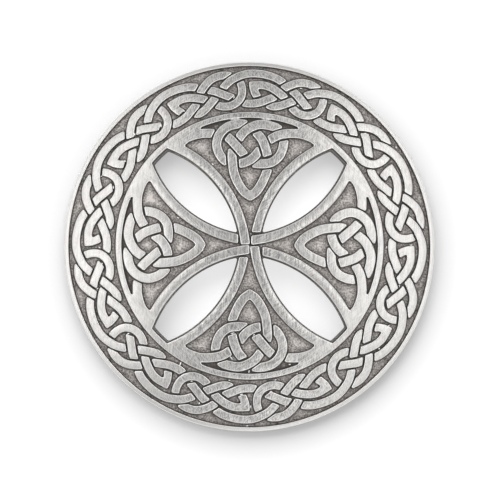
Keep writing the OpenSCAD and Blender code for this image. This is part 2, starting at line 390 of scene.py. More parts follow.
# Turns the triangles over that face the wrong way; up is 1 or -1.
def facing(spots, faces, up):
    a, b, c = (spots[faces[:, k]] for k in range(3))
    wrong = np.cross(b - a, c - a) * up < 0
    faces[wrong] = faces[wrong][:, ::-1]
    return faces


# The outlines of the strands: one border repeat, one arm, and the tongues that join the frame
def knotStrands():
    chart = {name: fromPolar(rows) for name, rows in borderKnot["lines"].items()}
    border = strandOutlines(borderKnot, chart)
    border.append(bentOutline(borderKnot, chart["hookRun"], chart["hookStub"],
                              fromPolar([borderKnot["hookCorner"]]), chart["lowDip"], chart["lowBow"]))
    chart = {name: np.array(rows, float) for name, rows in armKnot["lines"].items()}
    arms = strandOutlines(armKnot, chart)
    tip = chart["loopRight"][0] + armKnot["width"] / 2 * unitCircle(np.radians(np.arange(-112, -67, 11)))
    arms.append(bentOutline(armKnot, chart["loopLeft"], chart["loopRight"], tip, chart["leftBar"],
                            chart["rightBow"]))
    return border, arms, strandOutlines(armKnot, chart, "tongues")


def bandCentre(n, toSide):
    cx, cy = disc["bandMiddle"]
    return turned([(toSide * cx, cy)], n * 90)[0]


def bandOutline(n, toSide):
    stop = disc["bandStops"][toSide][n]
    edges = []
    for radius in (disc["bandInner"], disc["bandInner"] + disc["bandWidth"]):
        line = disc["bandMiddle"] + radius * unitCircle(np.linspace(math.pi, math.pi / 2, 600))
        line = line[(line[:, 1] >= stop) & (farOut(line) <= disc["bandReach"])]
        line[0, 1] = stop
        edges.append(line)
    return turned(np.vstack([edges[0], edges[1][::-1]]) * (toSide, 1), n * 90)


# Ring, bands, tongues and corner metal are one raised frame: its outlines, metal to the left of each.
def frameOutlines(tongues):
    parts = []
    corner = np.array(armKnot["cornerMetal"])
    for n in range(4):
        for toSide in (-1, 1):
            parts.append((bandOutline(n, toSide), None))
            parts.append((turned(corner * (toSide, 1), n * 90), bandCentre(n, toSide)))
        parts.extend((turned(t, n * 90), None) for t in tongues)
    ring = [ringOf(disc["ringInner"], 540), ringOf(disc["ringOuter"], 480)]
    arcs = [bandCentre(*band) + ringOf(disc["bandInner"], 500) for band in bandSides]
    loose = [p for arc in arcs for p in arc[farOut(arc) < disc["ringOuter"] - 0.3]]
    spots, faces = triangulate([outline for outline, hollow in parts] + ring, loose)[:2]
    middles = spots[faces].mean(1)
    far = farOut(middles)
    metal = (far > disc["ringInner"]) & (far < disc["ringOuter"])
    for outline, hollow in parts:
        within = insideOf(middles, outline)
        if hollow is not None:
            within &= np.linalg.norm(middles - hollow, axis=1) > disc["bandInner"]
        metal |= within
    edges = {}
    for a, b, c in faces[metal].tolist():
        if np.cross(spots[b] - spots[a], spots[c] - spots[a]) < 0:
            b, c = c, b
        edges.update({(a, b): True, (b, c): True, (c, a): True})
    follow = {}
    for a, b in edges:
        if (b, a) not in edges:
            follow.setdefault(a, []).append(b)
    outlines = []
    while follow:
        loop = [next(iter(follow))]
        while True:
            here = loop[-1]
            onward = follow[here].pop()
            if not follow[here]:
                del follow[here]
            if onward == loop[0]:
                break
            loop.append(onward)
        x, y = spots[loop].T
        area = 0.5 * np.sum(x * np.roll(y, -1) - y * np.roll(x, -1))
        if abs(area) > disc["leastArea"]:
            outlines.append(spots[loop])
    return outlines


def windowOutline():
    cx, cy = disc["bandMiddle"]
    circles = [((-cx, cy), disc["windowArc"]), ((-cy, cx), disc["windowArc"]), ((0, 0), disc["windowEnd"])]
    arcs = []
    for circle in circles:
        line = circle[0] + ringOf(circle[1], 7200)
        others = [c for c in circles if c != circle]
        within = np.all([np.linalg.norm(line - np.array(c), axis=1) < r for c, r in others], axis=0)
        first = int(np.nonzero(within & ~np.roll(within, 1))[0][0])
        arcs.append(np.roll(line, -first, axis=0)[np.roll(within, -first)][::12])
    # the three arcs, each counter-clockwise, put end to end
    middle = np.vstack(arcs).mean(0)
    return np.vstack(sorted(arcs, key=lambda arc: math.atan2(*(arc.mean(0) - middle)[::-1])))


# The bands along the windows are slightly round: how far their top lies under the flat crest.
def crownDrop(points):
    half = disc["bandWidth"] / 2
    far = farOut(points)
    start, end = disc["crownRange"]
    fade = np.clip((far - start) / 2, 0, 1) * np.clip((end - far) / 2, 0, 1)
    drop = np.zeros(len(points))
    for band in bandSides:
        aside = np.abs(np.linalg.norm(points - bandCentre(*band), axis=1) - disc["bandInner"] - half) / half
        own = disc["bandCrown"] * fade * np.minimum(aside, 1) ** 2
        drop = np.where(aside < 1.1, np.maximum(drop, own), drop)
    return drop


def crownPoints(tree):
    points = []
    half = disc["bandWidth"] / 2
    for band in bandSides:
        for aside in (-0.5, 0, 0.5):
            line = bandCentre(*band) + ringOf(disc["bandInner"] + half + aside * half, 300)
            points.extend(line[insideOf(line, bandOutline(*band)) & (farOut(line) < 25)])
    points = np.array(points)
    return points[nearest(tree, points) > 0.3]  # clear of the worn edges


# Places of a triangular grid that covers a circle: spacings in x, rows in y.
def gridPlaces(radius, gap):
    rows = int(radius / (gap * rowHeight)) + 1
    return [(i + 0.5 * (j % 2), j) for j in range(-rows, rows + 1) for i in range(-rows - 10, rows + 11)]


def buildDisc():
    border, arms, tongues = knotStrands()
    outlines = []
    for knot, strands in ((borderKnot, border), (armKnot, arms)):
        for n in range(knot["repeats"]):
            outlines.extend(turned(softened(o, knot["corner"]), n * 360 / knot["repeats"]) for o in strands)
    plain = len(outlines)
    outlines.extend(softened(o, armKnot["corner"]) for o in frameOutlines(tongues))
    print("strands:", plain, "outlines of the frame:", len(outlines) - plain)

    loops = []
    marks = []  # for each loop: depth, brightness of the painted highlight on the worn edge, whether it belongs to the frame

    def addLoop(loop, depth, bright, ofFrame=0):
        loops.append(loop)
        marks.append((depth, bright, ofFrame))

    for i, outline in enumerate(outlines):
        for inward, depth, bright in edgeProfileAndHighlight:
            loop = moved(outline, inward)
            if len(loop) > 2:
                addLoop(loop, depth, bright, i >= plain)
    rimInner = disc["radius"] - disc["rimWidth"]
    for inward, depth, bright in edgeProfileAndHighlight:
        addLoop(ringOf(rimInner + inward, disc["rimSteps"]), depth, bright)
    for inward, depth, bright in edgeProfileAndHighlight[:0:-1]:
        addLoop(ringOf(disc["radius"] - inward, disc["rimSteps"]), depth, bright)
    window = softened(windowOutline(), disc["windowCorner"])[::-1]
    windows = [turned(window, n * 90) for n in range(4)]
    for w in windows:
        for inward, drop, bright in disc["windowLip"]:
            addLoop(moved(w, inward), disc["relief"] + drop, bright)

    edgePoints = np.vstack(outlines + [ringOf(rimInner, 600)])
    tree = kdtree.KDTree(len(edgePoints))
    for i, p in enumerate(edgePoints):
        tree.insert((p[0], p[1], 0), i)
    tree.balance()
    random.seed(disc["seed"])
    gap, jitter = disc["groundSpacing"], disc["groundJitter"]
    loose = []
    for i, j in gridPlaces(rimInner, gap):
        x = i * gap + random.uniform(-jitter, jitter) * gap
        y = j * gap * rowHeight + random.uniform(-jitter, jitter) * gap
        loose.append((x, y))
    loose = np.array(loose)
    loose = loose[farOut(loose) < rimInner - 0.25]
    # inside the ring the frame's other outlines hold the ground, metal lies outside them
    holes = [o for o in outlines[plain:] if farOut(o).min() <= disc["ringOuter"] - 0.1]
    covered = insideAny(loose, outlines[:plain] + windows)
    covered |= (farOut(loose) < disc["ringOuter"]) & ~insideAny(loose, holes)
    loose = loose[~covered]
    reach = nearest(tree, loose)
    for w in windows:
        reach = np.minimum(reach, distanceTo(loose, closedUp(w)))
    loose = loose[reach > disc["groundClear"]]
    print("loops:", len(loops), "points:", sum(len(l) for l in loops), "ground points:", len(loose))

    crown = crownPoints(tree)
    spots, faces, origin = triangulate(loops, np.vstack([loose, crown]))
    table = [np.tile(mark, (len(loop), 1)) for loop, mark in zip(loops, marks)]
    table.append(np.tile((disc["relief"], 0, 0), (len(loose), 1)))
    table.append(np.tile((0, 0, 1), (len(crown), 1)))
    table.append([(disc["relief"], 0, 0)])  # the last row is for points that the triangulation adds
    depth, bright, ofFrame = np.vstack(table)[origin].T
    faces = facing(spots, faces[~insideAny(spots[faces].mean(1), windows)], 1)
    onBand = (ofFrame > 0) & (depth < 0.2)
    points = onDome(spots, depth + np.where(onBand, crownDrop(spots), 0))
    print("face of the disc:", len(points), "points,", len(faces), "triangles")
    return points, faces, depth, nearest(tree, spots), bright, windows


# Quads between closed loops of equal length; each loop is a list of (x, y, z).
def skirt(loops):
    count = len(loops[0])
    points = [tuple(p) for loop in loops for p in loop]
    faces = []
    for n in range(0, count * (len(loops) - 1), count):
        for i in range(count):
            j = (i + 1) % count
            faces.append((n + i, n + count + i, n + count + j, n + j))
    return points, faces


# A loop of the ground carried down through the plate, square to the dome.
def throughPlate(loop, depth):
    return onDome(loop * ((domeRadius - depth) / (domeRadius - disc["relief"])), depth)


# Window walls, rim and hollow back: points, faces and the name of the finish.
def buildSides(windows):
    thick, relief = disc["thickness"], disc["relief"]
    wallSteps = ((-0.02, relief + 0.16), (-0.02, relief + 0.6), (-0.02, thick - 0.5), (0, thick - 0.12),
                 (0.12, thick))  # mm into the metal, mm under the crest
    parts = []
    backLoops = []
    for w in windows:
        levels = [onDome(w, relief + disc["windowLip"][-1][1])]
        levels.extend(throughPlate(movedAll(w, inward), depth) for inward, depth in wallSteps)
        parts.append((*skirt(levels), "windowWall"))
        backLoops.append(levels[-1][:, :2])
    outer, inner = disc["radius"], disc["footInner"]
    # the rim's section, from its top edge round the foot to the hollow back: radius, height
    section = [(outer, float(domeHeight(outer, 0, disc["edgeDepth"]))), (outer, 1.4), (outer, 0.14),
               (outer - 0.04, 0.04), (outer - 0.15, 0), (inner + 0.1, 0), (inner, 0.1),
               (inner, float(domeHeight(inner, 0, thick)) - 0.12),
               (inner - 0.15, float(domeHeight(inner - 0.15, 0, thick)))]
    count = disc["rimSteps"]
    rim = [np.column_stack([ringOf(radius, count), np.full(count, height)]) for radius, height in section]
    parts.append((*skirt(rim), "rim"))
    backLoops.append(rim[-1][:, :2])
    gap = disc["backSpacing"]
    loose = np.array([(i * gap, j * gap * rowHeight) for i, j in gridPlaces(inner, gap)])
    loose = loose[farOut(loose) < inner - 0.8]
    for loop in backLoops[:-1]:
        loose = loose[~insideOf(loose, loop)]
        loose = loose[distanceTo(loose, closedUp(loop)) > 0.5]
    spots, faces = triangulate(backLoops, loose)[:2]
    faces = facing(spots, faces[~insideAny(spots[faces].mean(1), backLoops[:-1])], -1)
    parts.append((onDome(spots, thick), faces, "hollowBack"))
    return parts


# Cast lugs behind the disc. Lengths in mm.
lugs = {
    "x": 18.0,
    "length": 3.0,
    "earThickness": 1.2,
    "earY": 1.75,
    "hole": 0.8,
    "pinHeight": 2.0,
    "intoPlate": 0.4,
    "legThickness": 1.0,
    "lipThickness": 0.7,
    "lipReach": 0.8,
    "outerBend": 0.5,
    "innerBend": 0.2,
    "bevel": 0.14,
}


# A prism along y, with a hole of as many corners as the profile, or with none.
def extruded(profile, hole, low, high):
    n = len(profile)
    points = [(p[0], low, p[1]) for p in profile] + [(p[0], high, p[1]) for p in profile]
    faces = [(i, (i + 1) % n, n + (i + 1) % n, n + i) for i in range(n)]
    if hole is None:
        return points, faces + [tuple(range(n))[::-1], tuple(range(n, 2 * n))]
    points += [(p[0], low, p[1]) for p in hole] + [(p[0], high, p[1]) for p in hole]
    for i in range(n):
        j = (i + 1) % n
        faces.append((2 * n + i, 3 * n + i, 3 * n + j, 2 * n + j))
        faces.append((i, 2 * n + i, 2 * n + j, j))
        faces.append((n + j, 3 * n + j, 3 * n + i, n + i))
    return points, faces


def buildLugs():
    x, height, half = lugs["x"], lugs["pinHeight"], lugs["length"] / 2
    top = float(domeHeight(x, 0, disc["thickness"])) + lugs["intoPlate"] - height
    # the ears: round below the pin, square above it
    angles = sorted([*np.radians([*range(0, 180, 15), *range(180, 360, 12)]), math.atan2(top, half),
                     math.atan2(top, -half)])
    profile = []
    for a in angles:
        c, s = math.cos(a), math.sin(a)
        reach = half
        if s > 1e-9:
            reach = min(half / abs(c) if abs(c) > 1e-9 else 99, top / s)
        profile.append((x + reach * c, height + reach * s))
    hole = [(x + lugs["hole"] * math.cos(a), height + lugs["hole"] * math.sin(a)) for a in angles]
    parts = []
    for y in (-1, 1):
        low = y * lugs["earY"] - lugs["earThickness"] / 2
        parts.append(extruded(profile, hole, low, low + lugs["earThickness"]))
    # the hook: a leg with a lip bent under the pin
    lip, leg, reach = lugs["lipThickness"], lugs["legThickness"], lugs["lipReach"]
    wide, tight = lugs["outerBend"], lugs["innerBend"]
    low = height - reach - lip
    bent = [(-reach, low + lip), (-reach, low)]
    bent += [(reach + leg - wide + wide * math.sin(a), low + wide - wide * math.cos(a))
             for a in np.radians(np.arange(0, 91, 15))]
    bent += [(reach + leg, top + height), (reach, top + height)]
    bent += [(reach - tight + tight * math.cos(a), low + lip + tight - tight * math.sin(a))
             for a in np.radians(np.arange(0, 91, 30))]
    points, faces = extruded(bent, None, -x - half, -x + half)
    parts.append(([(p[1], p[0], p[2]) for p in points], [f[::-1] for f in faces]))
    return parts


# Small lumps of metal left by the mould, and places where it ran together. Each row: x, y, length, width,
# turn in degrees from x, depth of its top under the strands' tops. Lengths in mm.
castNibs = {
    "wrap": 0.62,  # how much of half a turn a lump's side goes down
    "lumps": [
        (-14.25, -24.30, 1.10, 0.34, 70, 0.05), (-31.20, -8.75, 0.50, 0.32, 45, 0.06),
        (-24.90, -18.00, 0.55, 0.30, 15, 0.05), (-4.20, -27.62, 0.42, 0.26, 0, 0.04),
        (-1.70, -30.50, 0.75, 0.34, 10, 0.20), (0.20, -33.00, 0.62, 0.24, 90, 0.05),
        (-10.35, -32.25, 0.50, 0.40, 90, 0.05), (-11.92, -27.79, 0.46, 0.26, 0, 0.10),
        (7.30, -32.90, 0.42, 0.32, 90, 0.10), (4.37, -29.92, 0.60, 0.30, 0, 0.10),
        (26.60, -21.09, 0.42, 0.32, 40, 0.10), (30.77, -8.20, 0.40, 0.28, -57, 0.10),
        (-3.56, -18.05, 0.85, 0.28, 16, 0.08), (-3.80, -23.10, 0.95, 0.30, -55, 0.16),
        (0.84, -18.41, 0.52, 0.26, 33, 0.08), (-7.99, -19.15, 0.70, 0.26, 83, 0.30),
        (8.16, -24.40, 0.55, 0.26, 3, 0.14), (-0.17, -25.85, 0.60, 0.30, 80, 0.03),
        (9.69, -26.26, 0.40, 0.26, 44, 0.20), (5.26, -27.55, 0.44, 0.30, 16, 0.10),
        (-0.49, -36.86, 0.48, 0.28, 12, 0.20), (8.60, -36.44, 0.60, 0.24, 12, 0.05),
        (28.56, -16.40, 0.46, 0.26, 32, 0.06), (-30.80, -0.29, 0.52, 0.34, -36, 0.06),
        (-30.25, -3.61, 0.46, 0.28, -69, 0.06), (33.23, 0.20, 0.60, 0.28, 8, 0.06),
        (28.13, -0.33, 0.55, 0.22, 90, 0.08), (36.05, 0.30, 0.60, 0.22, 90, 0.05),
        (23.88, 23.19, 0.58, 0.24, -10, 0.06), (30.22, 20.43, 0.50, 0.38, -50, 0.20),
        (-23.54, 23.03, 0.72, 0.30, 90, 0.10), (-18.14, 24.73, 0.78, 0.34, 85, 0.05),
        (-27.93, 12.05, 0.70, 0.26, -79, 0.06), (-25.53, 17.48, 0.55, 0.28, -57, 0.08),
        (-13.40, 27.77, 0.46, 0.26, 65, 0.10), (-7.74, 28.35, 1.00, 0.22, 45, 0.04),
        (-3.13, 30.55, 0.62, 0.24, 61, 0.16), (10.66, 32.48, 0.60, 0.26, -3, 0.20),
        (10.02, 28.84, 0.52, 0.28, -25, 0.10), (15.42, 30.18, 0.52, 0.24, -18, 0.08),
        (-30.40, 14.40, 0.40, 0.30, 0, 0.30), (20.00, 7.60, 0.36, 0.30, 0, 0.50),
        (-7.60, 16.70, 0.62, 0.34, -38, 0.55), (10.50, 19.18, 0.50, 0.34, 38, 0.58),
        (12.30, 17.60, 0.34, 0.30, 0, 0.55), (8.60, 15.20, 0.30, 0.26, 0, 0.56),
        (-14.71, 5.67, 0.60, 0.30, -32, 0.40), (-9.70, -1.08, 0.62, 0.22, 51, 0.06),
    ],
    "ranTogether": [
        (-2.95, 26.05, 2.40, 0.72, 6, 0.02), (3.45, 26.02, 2.30, 0.66, -8, 0.02),
    ],
}


def buildNib(x, y, long, wide, turn, depth, around=10, rings=4):
    c, s = math.cos(math.radians(turn)), math.sin(math.radians(turn))
    points = [(x, y, float(domeHeight(x, y, depth)))]
    for i in range(1, rings + 1):
        down = i / rings * castNibs["wrap"] * math.pi
        out, drop = math.sin(down), (1 - math.cos(down)) * wide / 2
        for j in range(around):
            a = 2 * math.pi * j / around
            u, v = out * math.cos(a) * long / 2, out * math.sin(a) * wide / 2
            px, py = x + u * c - v * s, y + u * s + v * c
            points.append((px, py, float(domeHeight(px, py, depth)) - drop))
    faces = [(0, 1 + j, 1 + (j + 1) % around) for j in range(around)]
    for i in range(rings - 1):
        for j in range(around):
            a, b = 1 + i * around + j, 1 + i * around + (j + 1) % around
            faces.append((a, a + around, b + around, b))
    return points, faces


def addToMesh(bm, points, faces):
    verts = [bm.verts.new([float(c) * mm for c in p]) for p in points]
    for f in faces:
        try:
            bm.faces.new([verts[int(i)] for i in f])
        except ValueError:
            continue  # the face is there already or has shrunk to a line
    return verts


# Where the casting is dark, by patina and by painted shade at the feet, in the slits, at the window ends and
# lips and on the window walls: how sunk a place counts, and how much room round it, both from 0 to 1.
patinaShadeAndHighlight = {
    # the narrow slits under the ring get less room: patina and painted shade
    "slits": (25.0, 25.7, 26.5),  # under the ring, mm from the middle: start, where they narrow, end
    "slitRoom": {"inner": 0.5, "outer": 0.12},
    # a window's outer end and its lips get less room: patina and painted shade
    "endFrom": 25.4,  # a window's outer end, mm from the middle
    "endRoom": 0.3,
    "endLip": 0.64,
    "lip": 0.8,
    "innerLipRoom": 0.3,  # a window's edge near the middle
    "innerLipFade": (12, 18),
    "fullRoom": 2,  # mm
    # the window walls are coloured dark: patina and painted shade
    "windowWall": (1.0, 0.10),
    "rim": (0.1, 0.5),
    "hollowBack": (0.8, 0.5),
    "tableLitWallFoot": 0.34,  # the lower edge of a window's wall, painted lighter by light from the table
    "lumps": 1.0,  # brightness of their painted highlight
    "ranTogether": 0.1,
}


# How much of the room round a place of the face counts; less room colours it darker, as patina and painted
# shade.
def roomShare(out, onLip, atEnd):
    start, middle, end = patinaShadeAndHighlight["slits"]
    if start < out < end:
        return patinaShadeAndHighlight["endRoom"] if atEnd else patinaShadeAndHighlight["slitRoom"]["outer" if out > middle else "inner"]
    if not onLip:
        return 1
    near, far = patinaShadeAndHighlight["innerLipFade"]
    least = patinaShadeAndHighlight["innerLipRoom"]
    return least + (1 - least) * min(1, max(0, (out - near) / (far - near)))


def makeCastDisc():
    points, faces, depth, room, bright, windows = buildDisc()
    relief, edgeDepth = disc["relief"], disc["edgeDepth"]
    body = bmesh.new()
    sunkLayer = body.verts.layers.float.new("sunk")
    roomLayer = body.verts.layers.float.new("room")
    highlightLayer = body.verts.layers.float.new("edgeHighlight")
    verts = addToMesh(body, points, faces)
    for v, out, d, r, b in zip(verts, farOut(points), depth, room, bright):
        onLip = d > relief + 0.01
        atEnd = onLip and out > patinaShadeAndHighlight["endFrom"]
        v[sunkLayer] = min(1, max(0, (d - edgeDepth) / (relief - edgeDepth)))
        if onLip:
            v[sunkLayer] = patinaShadeAndHighlight["endLip"] if atEnd else patinaShadeAndHighlight["lip"]
        v[roomLayer] = min(1, r * roomShare(out, onLip, atEnd) / patinaShadeAndHighlight["fullRoom"])
        # the painted highlight on the worn edge, none at a window's outer end
        v[highlightLayer] = 0 if atEnd else b
    for points, sideFaces, kind in buildSides(windows):
        verts = addToMesh(body, points, sideFaces)
        for v in verts:
            # the window walls get their patina and painted shade, rim and back their own tones
            v[sunkLayer], v[roomLayer] = patinaShadeAndHighlight[kind]
        if kind == "windowWall":
            # painted light: the lower edge of each window wall is lighter, lit by the table below
            for v in verts[-2 * len(windows[0]):]:
                v[sunkLayer] = patinaShadeAndHighlight["tableLitWallFoot"]
    bmesh.ops.remove_doubles(body, verts=body.verts, dist=0.002 * mm)
    # the lumps get a painted highlight
    for kind in ("lumps", "ranTogether"):
        for row in castNibs[kind]:
            for v in addToMesh(body, *buildNib(*row)):
                v[highlightLayer] = patinaShadeAndHighlight[kind]
    for points, lugFaces in buildLugs():
        lug = bmesh.new()
        addToMesh(lug, points, lugFaces)
        bmesh.ops.recalc_face_normals(lug, faces=lug.faces)
        edges = [e for e in lug.edges if len(e.link_faces) == 2 and e.calc_face_angle() > 0.6]
        bmesh.ops.bevel(lug, geom=edges, offset=lugs["bevel"] * mm, segments=2, profile=0.6, affect="EDGES")
        bmesh.ops.triangulate(lug, faces=[f for f in lug.faces if len(f.verts) > 4])
        lugMesh = bpy.data.meshes.new("lug")
        lug.to_mesh(lugMesh)
        lug.free()
        body.from_mesh(lugMesh)
        bpy.data.meshes.remove(lugMesh)
    bmesh.ops.delete(body, geom=[v for v in body.verts if not v.link_faces], context="VERTS")
    mesh = bpy.data.meshes.new("castDisc")
    body.to_mesh(mesh)
    body.free()
    mesh.shade_smooth()
    mesh.set_sharp_from_angle(angle=math.radians(38))
    casting = bpy.data.objects.new("castDisc", mesh)
    pieces.objects.link(casting)
    triangles = sum(len(p.vertices) - 2 for p in mesh.polygons)
    print("cast disc:", len(mesh.polygons), "faces", triangles, "triangles")
    return casting


# Finish of the casting: bright brushed tops with painted highlights on their edges and sides, dark grainy
# ground with patina and painted shade. Lengths of texture in mm.
pewter = {
    "top": (0.66, 0.645, 0.628),
    # painted highlight along the tops' edges and on the lumps
    "highlightColour": (0.96, 0.955, 0.94),
    "smoothAndLit": (0.93, 0.93, 0.93),  # where no brush lines are left: the smooth rim, and the sides, painted lighter as a highlight
    "topRoughness": (0.37, 0.41),
    "groundDark": (0.064, 0.057, 0.052),
    "groundLight": (0.72, 0.676, 0.645),
    "groundRoughness": (0.55, 0.55, 0.55),
    "mottle": 1.3,
    "grain": 0.31,
    "brush": 0.17,
    "patches": 9,
    "brushAngles": (84, -48, 33),
    "grainBump": 0.07,
    "topBump": 0.003,
    # from, to and the value at either: the feet by room, the others by metres from the middle
    # the feet are darker: patina and painted shade
    "feet": (0.05, 0.17, 0.14, 1),
    # the ground is painted lighter towards the upper left, where the light comes from
    "upperLeftLight": (0.014, 0.023, 0, 0.8),
    # painted highlight: the sides are lighter and smooth
    "litSides": (0.008, 0.024, 0, 0.64),
    "smoothRim": (0.0370, 0.0371, 0, 0.9),
    "litTowards": (-0.94, 0.34, 0),  # upper left
    # tones by room (patina and painted shade), of the open ground (patina, painted shade, painted light and
    # grain) and by brushing
    "roomPatinaAndShade": [(0.0, 0.0), (0.3, 0.08), (0.65, 0.41), (1.0, 0.64)],
    "groundTones": [(0.07, 0.03), (0.39, 0.30), (0.69, 0.72), (0.94, 1.0)],
    "topTones": [(0.27, 0.39), (0.5, 0.77), (0.74, 1.0)],
}
pinSteel = {
    "colour": (0.56, 0.57, 0.58),
    "dark": 0.82,
    "roughness": (0.24, 0.36),
    "drawLines": 0.15,
    "bump": 0.01,
}


# Nodes of a material or of the world. add gives the node, surface the material, the others an output.
class Shader:
    def __init__(self, owner):
        owner.use_nodes = True
        self.owner = owner
        self.tree = owner.node_tree
        self.tree.nodes.clear()

    # sockets: what goes into each input, a constant or another node's output
    def add(self, kind, label, sockets=(), **settings):
        node = self.tree.nodes.new("ShaderNode" + kind)
        node.label = label
        for key, value in settings.items():
            setattr(node, key, value)
        for socket, value in dict(sockets).items():
            if isinstance(value, bpy.types.NodeSocket):
                self.tree.links.new(value, node.inputs[socket])
            else:
                node.inputs[socket].default_value = value
        return node

    def number(self, operation, label, *sources):
        return self.add("Math", label, enumerate(sources), operation=operation).outputs["Value"]

    def vector(self, operation, label, source, other=(0, 0, 0)):
        node = self.add("VectorMath", label, {0: source, 1: other}, operation=operation)
        return node.outputs["Vector" if operation == "MULTIPLY" else "Value"]

    def spread(self, label, source, start, end, low=0, high=1, curve="LINEAR"):
        sockets = {"Value": source, "From Min": start, "From Max": end, "To Min": low, "To Max": high}
        return self.add("MapRange", label, sockets, interpolation_type=curve).outputs["Result"]

    def fade(self, *values):
        return self.spread(*values, curve="SMOOTHSTEP")

    def ramp(self, label, source, stops):
        node = self.add("ValToRGB", label, {"Fac": source})
        while len(node.color_ramp.elements) < len(stops):
            node.color_ramp.elements.new(0.5)
        for element, (at, value) in zip(node.color_ramp.elements, stops):
            element.position = at
            element.color = (*value, 1) if isinstance(value, tuple) else (value, value, value, 1)
        return node.outputs["Color"]

    def mix(self, label, factor, first, second, mode="MIX"):
        colours = [(*c, 1) if isinstance(c, tuple) else c for c in (first, second)]
        sockets = {0: factor, 6: colours[0], 7: colours[1]}
        return self.add("Mix", label, sockets, data_type="RGBA", blend_type=mode).outputs["Result"]

    def weighed(self, label, parts):
        total = 0
        for source, weight in parts:
            total = self.number("MULTIPLY_ADD", label, source, weight, total)
        return total

    # size in mm
    def noise(self, label, where, size, detail):
        sockets = {"Vector": where, "Scale": 1 / (size * mm), "Detail": detail}
        return self.add("TexNoise", label, sockets).outputs["Fac"]

    def spreadNoise(self, label, where, size, detail, low=0.32, high=0.68):
        return self.spread(label + " spread", self.noise(label, where, size, detail), low, high)

    # fine lines along one direction, in degrees from x
    def brushing(self, label, where, angle):
        sockets = {"Vector": where, "Rotation": (0, 0, math.radians(angle)), "Scale": (24, 1, 1)}
        place = self.add("Mapping", label + " place", sockets, vector_type="TEXTURE").outputs["Vector"]
        return self.spreadNoise(label, place, pewter["brush"], 1, 0.3, 0.7)

    def bump(self, label, height, distance, strength, under=()):
        sockets = {"Height": height, "Distance": distance * mm, "Strength": strength, **dict(under)}
        return self.add("Bump", label, sockets).outputs["Normal"]

    def surface(self, label, sockets):
        shade = self.add("BsdfPrincipled", label, sockets)
        self.add("OutputMaterial", "output", {"Surface": shade.outputs["BSDF"]})
        return self.owner


def makePewter():
    s = Shader(bpy.data.materials.new("antiquePewter"))
    where = s.add("TexCoord", "place").outputs["Object"]
    layers = ("sunk", "room", "edgeHighlight")
    sunk, room, edgeHighlight = (s.add("Attribute", name, attribute_name=name).outputs["Fac"] for name in layers)
    mottle = s.spreadNoise("mottled patina", where, pewter["mottle"], 4)
    grain = s.spreadNoise("cast grain", where, pewter["grain"], 2)
    pits = s.spreadNoise("coarser grain", where, pewter["grain"] * 2, 2)
    # a dark line of patina and painted shade runs along the strands' feet, and the ground is lighter grey
    # where there is room: less patina and less painted shade there
    wide = s.ramp("wider ground is lighter: less patina, less painted shade", room, pewter["roomPatinaAndShade"])
    foot = s.fade("dark feet: patina and painted shade", room, *pewter["feet"])
    # painted light: the ground is lighter towards the upper left
    leftward = s.vector("DOT_PRODUCT", "painted light, most at the upper left", where, pewter["litTowards"])
    upperLeftLight = s.spread("painted light towards the upper left", leftward, *pewter["upperLeftLight"])
    roomAndLight = s.number("MULTIPLY_ADD", "patina, painted shade and painted light by room and place", upperLeftLight, wide, wide)
    opened = s.weighed("patina, painted shade, painted light and grain", [(roomAndLight, 0.7), (mottle, 0.09), (pits, 0.05), (grain, 0.48)])
    lighter = s.ramp("open ground", opened, pewter["groundTones"])
    clear = s.number("MULTIPLY", "open ground clear of the feet", foot, lighter)
    ground = s.mix("ground colour", clear, pewter["groundDark"], pewter["groundLight"])
    # the tops were brushed in patches: up and down, and aslant both ways
    patches = s.spreadNoise("brushed patches", where, pewter["patches"], 0, 0.42, 0.58)
    upright, leftSlant, rightSlant = (s.brushing(f"brushed at {a}", where, a) for a in pewter["brushAngles"])
    slants = s.mix("either slant", patches, leftSlant, rightSlant)
    dusty = s.weighed("brushing and grain", [(upright, 0.48), (slants, 0.34), (grain, 0.14), (mottle, 0.04)])
    brushed = s.ramp("brushed top", dusty, pewter["topTones"])
    # the sides are painted lighter and nearly smooth as a highlight, the middle keeps its lines
    across = s.vector("DOT_PRODUCT", "across", where, (1, 0, 0))
    aside = s.number("ABSOLUTE", "away from the middle", across)
    litSides = s.fade("sides painted lighter and smooth", aside, *pewter["litSides"])
    far = s.vector("LENGTH", "how far out", s.vector("MULTIPLY", "seen from above", where, (1, 1, 0)))
    smoothRim = s.spread("smooth rim", far, *pewter["smoothRim"])
    litSidesSmoothRim = s.number("MAXIMUM", "painted lighter sides and smooth rim", litSides, smoothRim)
    placed = s.mix("brushing by place", litSidesSmoothRim, brushed, pewter["smoothAndLit"])
    top = s.mix("top colour", 1.0, pewter["top"], placed, "MULTIPLY")
    # the edges and lumps are painted near white as a highlight
    edged = s.mix("painted highlight on the edges", edgeHighlight, top, pewter["highlightColour"])
    deep = s.ramp("from top to ground", sunk, [(0.0, 0.0), (0.5, 0.5), (0.8, 1.0)])
    low, high = pewter["topRoughness"]
    gloss = s.ramp("top roughness", dusty, [(0.2, high), (0.8, low)])
    lines = s.bump("brushed tops", dusty, pewter["topBump"], 0.6)
    return s.surface("pewter", {
        "Base Color": s.mix("colour", deep, edged, ground),
        "Roughness": s.mix("roughness", deep, gloss, pewter["groundRoughness"]),
        "Metallic": s.ramp("tarnish is less metallic", deep, [(0.0, 1.0), (1.0, 0.75)]),
        "Normal": s.bump("grainy ground", opened, pewter["grainBump"], deep, {"Normal": lines}),
    })


